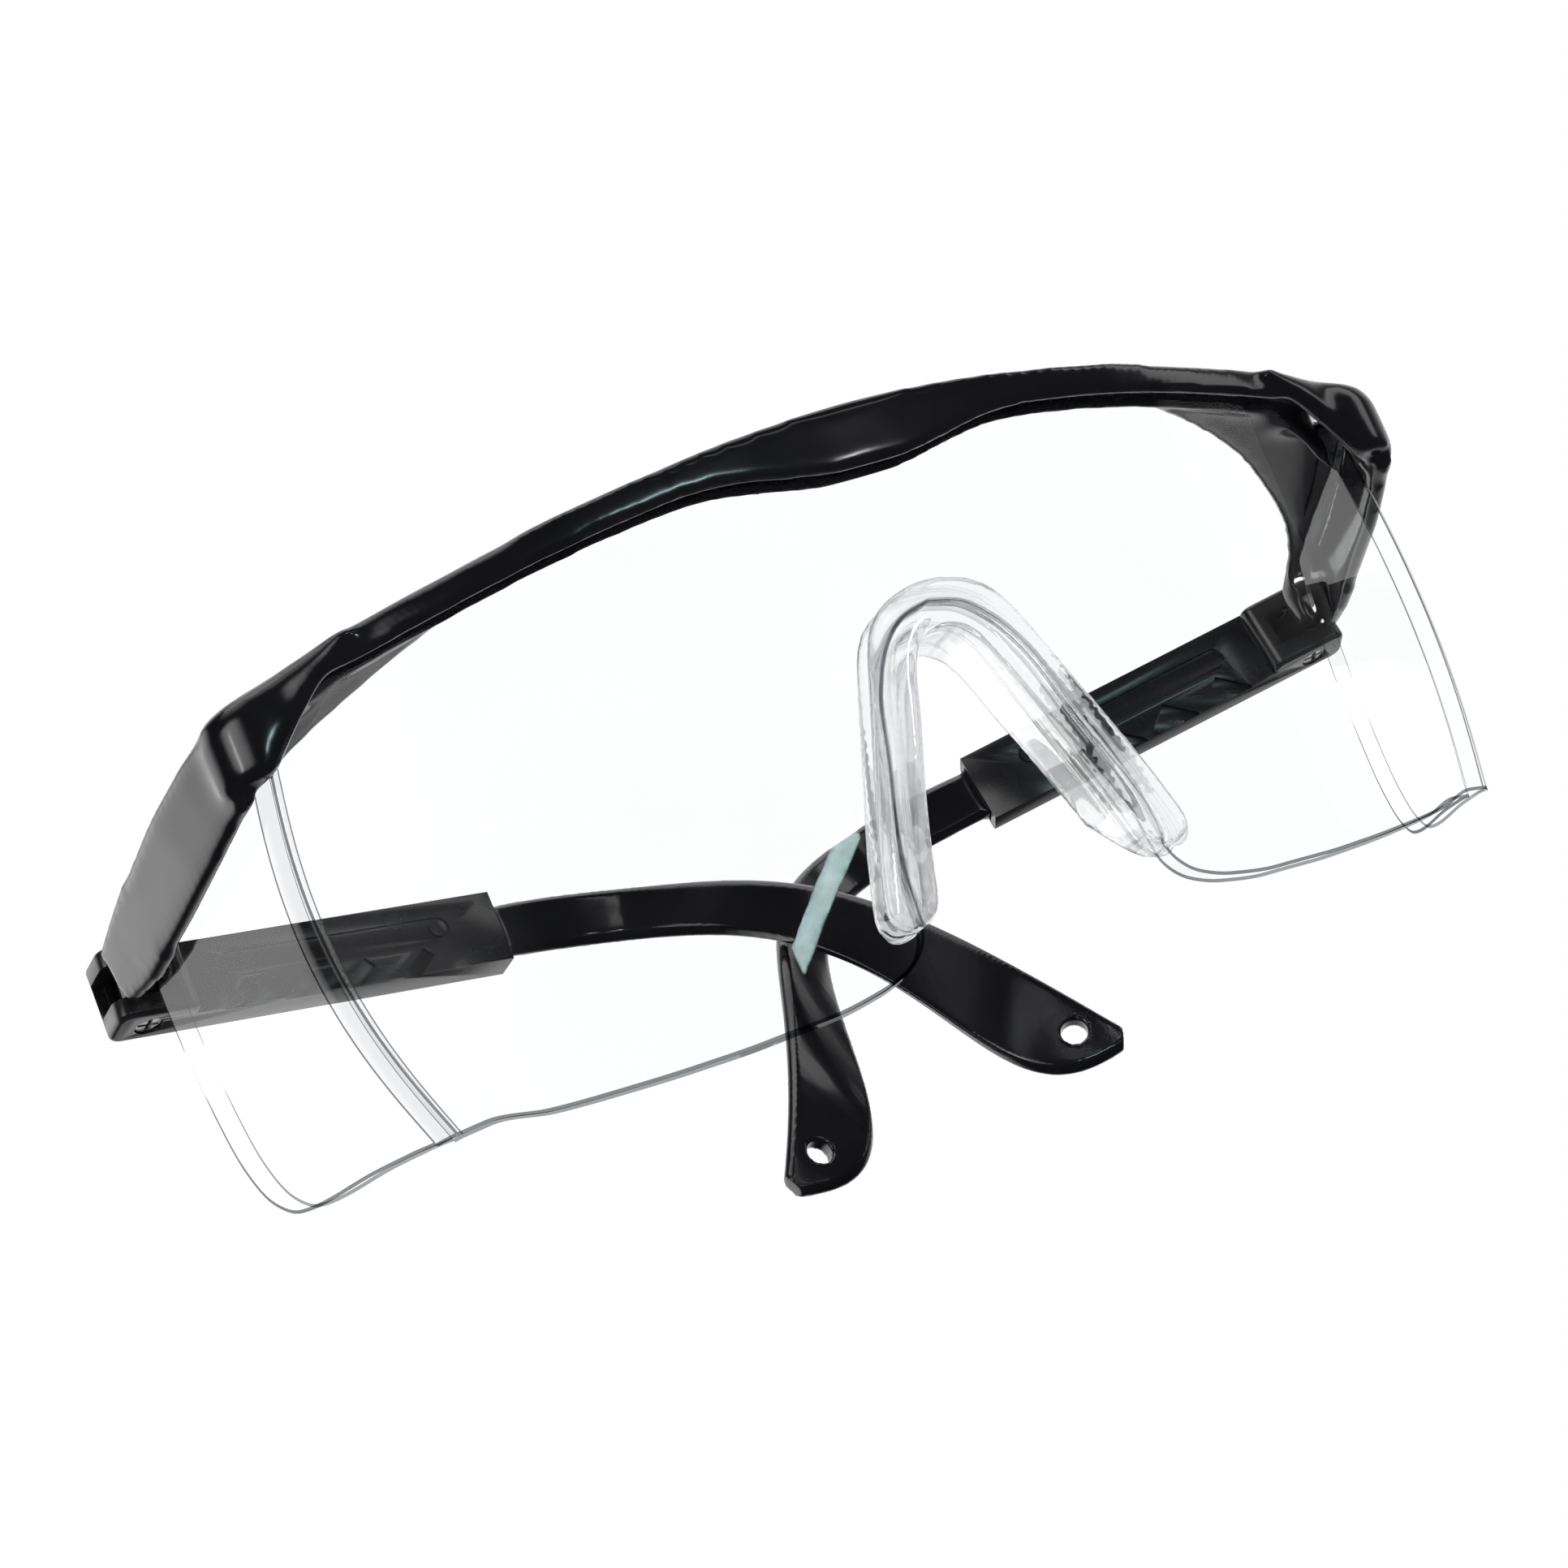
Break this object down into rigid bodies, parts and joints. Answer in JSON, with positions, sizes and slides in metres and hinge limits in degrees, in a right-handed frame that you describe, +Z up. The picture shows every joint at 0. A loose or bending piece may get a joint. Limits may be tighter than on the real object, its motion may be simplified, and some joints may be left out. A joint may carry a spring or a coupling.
{
  "type": "safety glasses",
  "caption": "Wraparound safety glasses with a one-piece clear lens, brow bar, clear nose piece and folded, length-adjustable temples.",
  "frame": {"origin": "middle of the bounding box in plan, at the lowest point of the glasses", "axes": "+X across the face towards the wearer's left, +Y back towards the ears, +Z up, with the brow bar on top"},
  "size_m": [0.1564, 0.0832, 0.0602],
  "materials": {
    "black_nylon": "smooth moulded black nylon",
    "clear_lens": "polished clear polycarbonate",
    "clear_nose": "smooth clear soft plastic",
    "screw_steel": "plain turned steel"
  },
  "bodies": {
    "frame": {"brow_frame": "black_nylon", "lens": "clear_lens", "nose_piece": "clear_nose"},
    "temple_right": {"temple_sleeve_right": "black_nylon", "hinge_screw_right": "screw_steel"},
    "arm_right": {"temple_arm_right": "black_nylon"},
    "temple_left": {"temple_sleeve_left": "black_nylon", "hinge_screw_left": "screw_steel"},
    "arm_left": {"temple_arm_left": "black_nylon"}
  },
  "joints": [
    {"name": "fold_right", "type": "hinge", "parent": "frame", "child": "temple_right", "pos_m": [-0.07405, 0.02276, 0.04451], "axis": [0.0523, 0, 0.9986], "range_deg": [0, 78]},
    {"name": "fold_left", "type": "hinge", "parent": "frame", "child": "temple_left", "pos_m": [0.07398, 0.02276, 0.04451], "axis": [0.0523, 0, -0.9986], "range_deg": [0, 80.4]},
    {"name": "length_right", "type": "slide", "parent": "temple_right", "child": "arm_right", "axis": [0.9789, 0.1977, -0.0513], "range_m": [0, 0.0219]},
    {"name": "length_left", "type": "slide", "parent": "temple_left", "child": "arm_left", "axis": [-0.9529, 0.299, -0.0499], "range_m": [0, 0.0219]}
  ],
  "couplings": [
    {"joint": "fold_left", "follows": "fold_right", "ratio": 1.03},
    {"joint": "length_left", "follows": "length_right", "ratio": 1}
  ]
}
